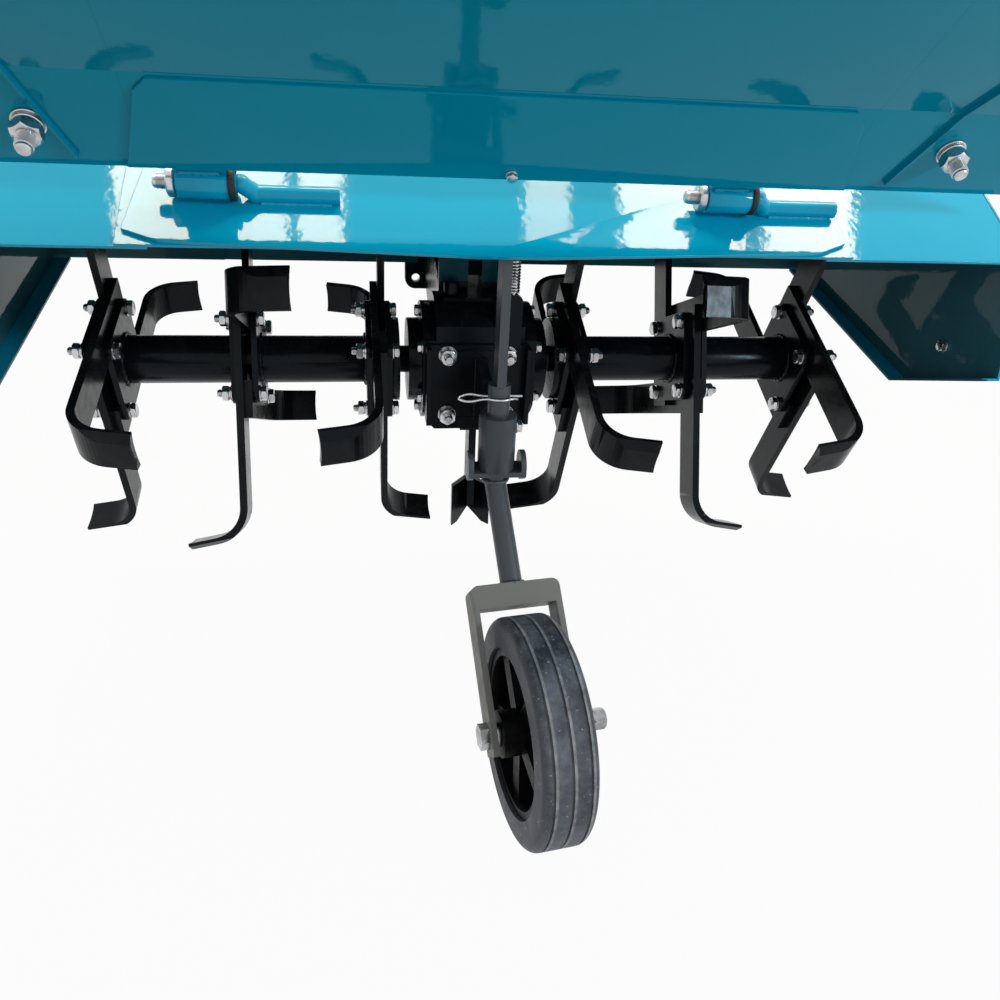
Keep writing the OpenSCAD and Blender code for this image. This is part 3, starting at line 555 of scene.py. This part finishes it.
FLAP_STUD_SPOTS = ((-0.424, 0.0455), (0.443, 0.0545))
FLAP_STUB = 0.016
FLAP_SCREW_UP = 0.007


def flap_studs():
    """Studs that stand out of the flap's inner face above its lower edge, and a small screw in the middle."""
    bm = bmesh.new()
    for x, rise in FLAP_STUD_SPOTS:
        spot = BAND_FOOT + BAND_UP * rise + BAND_OUT * SHEET_T + Vector((x, 0, 0))
        stud(bm, standing(spot, BAND_OUT), M16, FLAP_STUB)
    screw = BAND_FOOT + BAND_UP * FLAP_SCREW_UP + BAND_OUT * 2 * SHEET_T
    bolt_head(bm, standing(screw, BAND_OUT), M6)
    piece("flap_studs", bm, "flap", "zinc")


SOCKET_SCREW_DOWN = 0.014
SOCKET_SCREW_SUNK = 0.0008


def socket_screw():
    """Set screw on the right of the socket, near its top."""
    bm = bmesh.new()
    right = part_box("swivel_socket")[1].x - SOCKET_SCREW_SUNK
    bolt_head(bm, standing((right, SWIVEL.y, ROTOR.z + SOCKET_TOP - SOCKET_SCREW_DOWN), (1, 0, 0)), M8)
    piece("socket_screw", bm, "frame", "zinc")


SIDE_BOLT = (-0.435, -0.044)


def side_bolts():
    """One bolt through the wall of each side plate."""
    bm = bmesh.new()
    for side, sign in HANDS:
        low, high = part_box("side_plate_" + side)
        wall = max(abs(low.x), abs(high.x)) - SHEET_T
        bolt_head(bm, standing((sign * wall, *SIDE_BOLT), (-sign, 0, 0)), M8)
    piece("side_bolts", bm, "frame", "zinc")


CAP_BOLT_R = 0.065
CAP_BOLTS = 6


def cap_bolts():
    """Bolts round the flange of each bearing cap."""
    low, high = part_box("bearing_caps")
    bm = bmesh.new()
    for sign, end in ((-1, low.x), (1, high.x)):
        for i in range(CAP_BOLTS):
            a = 2 * math.pi * i / CAP_BOLTS
            spot = Vector((end - sign * CAP_BOSS, ROTOR.y + CAP_BOLT_R * math.sin(a),
                           ROTOR.z + CAP_BOLT_R * math.cos(a)))
            bolt_head(bm, standing(spot, (sign, 0, 0)), M8)
    piece("cap_bolts", bm, "frame", "zinc")


HINGE_WASHER_GAP = 0.0008
HINGE_WASHER = {"outer": 0.0285, "thick": 0.0084}
HINGE_THREAD = {"d": 0.014, "start": 0.008, "end": 0.0215}


def hinge_nuts():
    """Thick washer and the end of a threaded stud on the left end of each hinge rod."""
    bm = bmesh.new()
    for x in HINGE_X:
        place = standing(HINGE + Vector((x - BARREL_HALF - HINGE_WASHER_GAP, 0, 0)), (-1, 0, 0))
        washer(bm, place, **HINGE_WASHER)
        thread(bm, place, **HINGE_THREAD)
    piece("hinge_nuts", bm, "frame", "zinc")


AXLE_NUT = (0.0642, 0.0805)
AXLE_NUT_FLATS = 0.0215


def axle_nut():
    """Second nut on the right end of the axle bolt."""
    bm = bmesh.new()
    nut(bm, standing(WHEEL + AXLE * AXLE_NUT[0], AXLE), AXLE_NUT_FLATS, AXLE_NUT[1] - AXLE_NUT[0])
    piece("axle_nut", bm, "caster", "zinc", look="shaded_zinc")


# Spring and wire clip, in place of plain solids

COIL_TURNS = 13
COIL_WIRE = 0.0014
COIL_STEPS = 18
SPRING_LEN = 0.050
SPRING_ROD = 0.002


def lever_coil():
    """Coil spring round its rod."""
    low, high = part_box("lever_spring")
    middle = (low + high) / 2
    radius = (high.x - low.x) / 2 - COIL_WIRE
    steps = COIL_TURNS * COIL_STEPS
    points = []
    for i in range(steps + 1):
        a = 2 * math.pi * i / COIL_STEPS
        points.append(Vector((middle.x + radius * math.cos(a), middle.y + radius * math.sin(a),
                              low.z + COIL_WIRE + (SPRING_LEN - 2 * COIL_WIRE) * i / steps)))
    bm = bmesh.new()
    sweep(bm, points, [COIL_WIRE] * len(points), WIRE_SIDES)
    rod = [Vector((middle.x, middle.y, z)) for z in (low.z, low.z + SPRING_LEN, high.z)]
    sweep(bm, rod, [SPRING_ROD] * len(rod), ROD_SIDES)
    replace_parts(piece("lever_coil", bm, "frame", "zinc"), "lever_spring")


CLIP_WIRE = 0.0014
CLIP_UP = 0.025
CLIP_STEPS = 6
CLIP_POINTS = (
    (0.026, 0, 0), (0.012, 0, 0), (-0.012, 0, 0), (-0.0205, -0.0005, 0.0008), (-0.034, -0.002, 0.0032),
    (-0.0442, -0.0045, 0.0012), (-0.0442, -0.0068, -0.0012), (-0.034, -0.0095, -0.0026),
    (-0.0205, -0.0098, -0.0006), (-0.0125, -0.0105, 0), (-0.006, -0.0138, 0), (0, -0.015, 0),
    (0.006, -0.0138, 0), (0.0115, -0.0105, 0), (0.0155, -0.0098, 0), (0.0195, -0.0118, 0.0006))


def wire_clip():
    """Spring clip: one leg runs through the stem, the other springs over it behind a long eye."""
    origin = Vector((SWIVEL.x, SWIVEL.y, ROTOR.z + CLIP_UP))
    points = through([origin + Vector(p) for p in CLIP_POINTS], CLIP_STEPS)
    bm = bmesh.new()
    sweep(bm, points, [CLIP_WIRE] * len(points), CLIP_SIDES)
    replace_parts(piece("wire_clip", bm, "caster", "zinc"), "spring_clip")


# Welds

WELD_STEP = 0.0022
WELD_SMOOTH = 60
TUBE_BEAD = 0.0032
TUBE_BEAD_OUT = 0.0012
TUBE_BEAD_POINTS = 72


def tube_welds():
    """Weld beads where the tubes meet the clamp plates."""
    for side, sign in HANDS:
        first, middle, last = flange_places(side)
        bm = bmesh.new()
        for x in (first + STACK_HALF, middle - STACK_HALF, middle + STACK_HALF, last - STACK_HALF):
            ring = ring_points(ROTOR + Vector((sign * x, 0, 0)), (1, 0, 0), TUBE_R + TUBE_BEAD_OUT,
                               TUBE_BEAD_POINTS)
            bead(bm, ring, TUBE_BEAD, closed=True)
        piece("tube_welds_" + side, bm, "rotor", "black_paint", WELD_SMOOTH)


ROD_WELD = (0.052, 0.124)
ROD_WELD_DOWN = 0.0066
ROD_BEAD = 0.0026


def rod_welds():
    """Weld beads along both sides of the hinge rods, where they lie on the hinge plate."""
    bm = bmesh.new()
    count = int((ROD_WELD[1] - ROD_WELD[0]) / WELD_STEP)
    for x in HINGE_X:
        for side in (-1, 1):
            start = HINGE - SLOPE_OUT * PLATE_BELOW_HINGE + SLOPE_DOWN * side * ROD_WELD_DOWN
            points = [start + Vector((x + ROD_WELD[0] + i * WELD_STEP, 0, 0)) for i in range(count)]
            bead(bm, points, ROD_BEAD)
    piece("rod_welds", bm, "frame", "teal_paint", WELD_SMOOTH)


BARREL_WELD = Vector((0, -0.0122, 0.0102))
BARREL_WELD_IN = 0.004
BARREL_BEAD = 0.0031


def barrel_welds():
    """Weld bead along the top of each hinge barrel, under the flap's foot."""
    bm = bmesh.new()
    count = int(2 * (BARREL_HALF - BARREL_WELD_IN) / WELD_STEP)
    for x in HINGE_X:
        start = HINGE + BARREL_WELD + Vector((x - BARREL_HALF + BARREL_WELD_IN, 0, 0))
        bead(bm, [start + Vector((i * WELD_STEP, 0, 0)) for i in range(count)], BARREL_BEAD)
    piece("barrel_welds", bm, "flap", "teal_paint", WELD_SMOOTH)


ARM_BEAD = 0.0028


def frame_welds():
    """Weld beads of the arm on the bracket and on the socket."""
    bm = bmesh.new()
    plate_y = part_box("rear_bracket")[1].y - BRACKET_T
    socket_y = SWIVEL.y + SOCKET_R
    for x in (-ARM_HALF, ARM_HALF):
        for y, (low, high) in ((plate_y, ARM_FRONT), (socket_y, ARM_REAR)):
            count = int((high - low) / WELD_STEP)
            points = [Vector((x, y, ROTOR.z + low + (i + 0.5) * WELD_STEP)) for i in range(count)]
            bead(bm, points, ARM_BEAD)
    piece("frame_welds", bm, "frame", "black_paint", WELD_SMOOTH)


STEM_BEAD = 0.0026
STEM_BEAD_OUT = 0.001
STEM_BEAD_POINTS = 44


def caster_welds():
    """Weld beads round the stem on the fork's bar and under the stop plate."""
    bm = bmesh.new()
    leg = (WHEEL - KINK).normalized()
    bar = KINK + leg * RAKED_LEN
    stop = Vector((SWIVEL.x, SWIVEL.y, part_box("stop_plate")[0].z))
    for centre, axis in ((bar, leg), (stop, Vector((0, 0, 1)))):
        ring = ring_points(centre, axis, STEM_R + STEM_BEAD_OUT, STEM_BEAD_POINTS)
        bead(bm, ring, STEM_BEAD, closed=True)
    piece("caster_welds", bm, "caster", "grey_paint", WELD_SMOOTH)


# Stage, lights and camera

FLOOR_REACH = 9.0
FLOOR_TONES = ((0.48, 0.48, 0.48), (0.52, 0.52, 0.52))
FLOOR_GLOW = 0.96
AMBIENT = 0.4
AMBIENT_COLOUR = (0.93, 0.97, 1.0, 1.0)
WHITE = (1.0, 1.0, 1.0, 1.0)


def stage_floor():
    """Floor that reads as a white background to the camera and in reflections, and keeps a faint shadow."""
    mesh = bpy.data.meshes.new("floor")
    corners = ((-1, -1), (1, -1), (1, 1), (-1, 1))
    mesh.from_pydata([(x * FLOOR_REACH, y * FLOOR_REACH, FLOOR_Z) for x, y in corners], [], [(0, 1, 2, 3)])
    floor = bpy.data.objects.new("floor", mesh)
    bpy.context.scene.collection.objects.link(floor)
    s = Shader("floor")
    s.finish(Base_Color=s.mix(s.noise(6.0), *FLOOR_TONES), Roughness=0.9)
    light_path = s.add("ShaderNodeLightPath")
    seen = s.math("MAXIMUM", light_path.outputs["Is Camera Ray"], light_path.outputs["Is Glossy Ray"])
    seen = s.math("MAXIMUM", seen, light_path.outputs["Is Transmission Ray"])
    glow = s.add("ShaderNodeEmission")
    blend = s.add("ShaderNodeMixShader")
    s.put(blend.inputs[0], s.math("MULTIPLY", seen, FLOOR_GLOW))
    s.put(blend.inputs[1], s.bsdf.outputs[0])
    s.put(blend.inputs[2], glow.outputs[0])
    s.put(s.tree.nodes["Material Output"].inputs["Surface"], blend.outputs[0])
    mesh.materials.append(s.material)


def world_light():
    """Soft light from all round, which reads as white to the camera and in reflections."""
    world = bpy.data.worlds.new("studio")
    bpy.context.scene.world = world
    world.use_nodes = True
    tree = world.node_tree
    tree.nodes.clear()
    path = tree.nodes.new("ShaderNodeLightPath")
    soft, white = tree.nodes.new("ShaderNodeBackground"), tree.nodes.new("ShaderNodeBackground")
    for node, colour, strength in ((soft, AMBIENT_COLOUR, AMBIENT), (white, WHITE, 1.0)):
        node.inputs["Color"].default_value = colour
        node.inputs["Strength"].default_value = strength
    share = path.outputs["Is Camera Ray"]
    for name in ("Is Glossy Ray", "Is Transmission Ray"):
        most = tree.nodes.new("ShaderNodeMath")
        most.operation = "MAXIMUM"
        tree.links.new(share, most.inputs[0])
        tree.links.new(path.outputs[name], most.inputs[1])
        share = most.outputs[0]
    mix = tree.nodes.new("ShaderNodeMixShader")
    out = tree.nodes.new("ShaderNodeOutputWorld")
    tree.links.new(share, mix.inputs[0])
    tree.links.new(soft.outputs[0], mix.inputs[1])
    tree.links.new(white.outputs[0], mix.inputs[2])
    tree.links.new(mix.outputs[0], out.inputs["Surface"])


# Overhead panes: name, left and right edge, share of the level
OVERHEADS = (("overhead_left_outer", -0.90, -0.37, 1.0), ("overhead_left_inner", -0.33, -0.19, 1.0),
             ("overhead_middle", 0.42, 0.58, 0.6),
             ("overhead_right_inner", 0.76, 1.22, 1.0), ("overhead_right_outer", 1.29, 1.64, 1.0))
LAMP_HEIGHT = 2.1
LAMP_DEPTH = 0.62
LAMP_Y = 0.15
LAMP_LEVEL = 18.0
WARM = (1.0, 0.84, 0.72)
SIDE_SPOT = (1.93, -1.97, 0.88)
SIDE_TARGET = (0.1, -0.45, 0)
SIDE_SIZE = 0.36
SIDE_WATTS = 19
COOL = (0.80, 0.91, 1.0)


def soft_box(name, spot, target, width, height, watts, colour):
    light = bpy.data.lights.new(name, "AREA")
    light.shape = "RECTANGLE"
    light.size, light.size_y = width, height
    light.energy = watts
    light.color = colour
    obj = bpy.data.objects.new(name, light)
    obj.location = spot
    obj.rotation_mode = "QUATERNION"
    obj.rotation_quaternion = (Vector(target) - Vector(spot)).to_track_quat("-Z", "Y")
    bpy.context.scene.collection.objects.link(obj)


def lights():
    """Soft boxes overhead, split so that the glossy slope shows bright and dark bands, and one at the
    camera's right."""
    for name, x0, x1, share in OVERHEADS:
        watts = share * LAMP_LEVEL * math.pi * (x1 - x0) * LAMP_DEPTH
        spot = ((x0 + x1) / 2, LAMP_Y, LAMP_HEIGHT)
        soft_box(name, spot, (spot[0], spot[1], 0.0), x1 - x0, LAMP_DEPTH, watts, WARM)
    soft_box("camera_side", SIDE_SPOT, SIDE_TARGET, SIDE_SIZE, SIDE_SIZE, SIDE_WATTS, COOL)


# Camera, fitted to the photograph
CAMERA_SPOT = Vector((-0.15247, -1.38056, 0.23641))
CAMERA_YAW = math.radians(10.35)
CAMERA_PITCH = math.radians(26.61)
CAMERA_ROLL = math.radians(3.02)
CAMERA_LENS = 30.49
SENSOR = 36.0
CLIP_NEAR, CLIP_FAR = 0.05, 50.0


def camera():
    data = bpy.data.cameras.new("camera")
    data.sensor_width = SENSOR
    data.lens = CAMERA_LENS
    data.clip_start, data.clip_end = CLIP_NEAR, CLIP_FAR
    cam = bpy.data.objects.new("camera", data)
    level = math.cos(CAMERA_PITCH)
    ahead = Vector((math.sin(CAMERA_YAW) * level, math.cos(CAMERA_YAW) * level, -math.sin(CAMERA_PITCH)))
    right = Vector((math.cos(CAMERA_YAW), -math.sin(CAMERA_YAW), 0))
    up = right.cross(ahead)
    c, s = math.cos(CAMERA_ROLL), math.sin(CAMERA_ROLL)
    right, up = c * right + s * up, c * up - s * right
    turn = Matrix((right, up, -ahead)).transposed().to_4x4()
    cam.matrix_world = Matrix.Translation(CAMERA_SPOT) @ turn
    bpy.context.scene.collection.objects.link(cam)
    bpy.context.scene.camera = cam


dress_nodes()
tine_bolts()
bracket_studs()
flap_studs()
socket_screw()
side_bolts()
cap_bolts()
hinge_nuts()
axle_nut()
lever_coil()
tube_welds()
rod_welds()
barrel_welds()
wire_clip()
frame_welds()
caster_welds()
stage_floor()
world_light()
lights()
camera()
bpy.context.scene.view_settings.view_transform = "Standard"
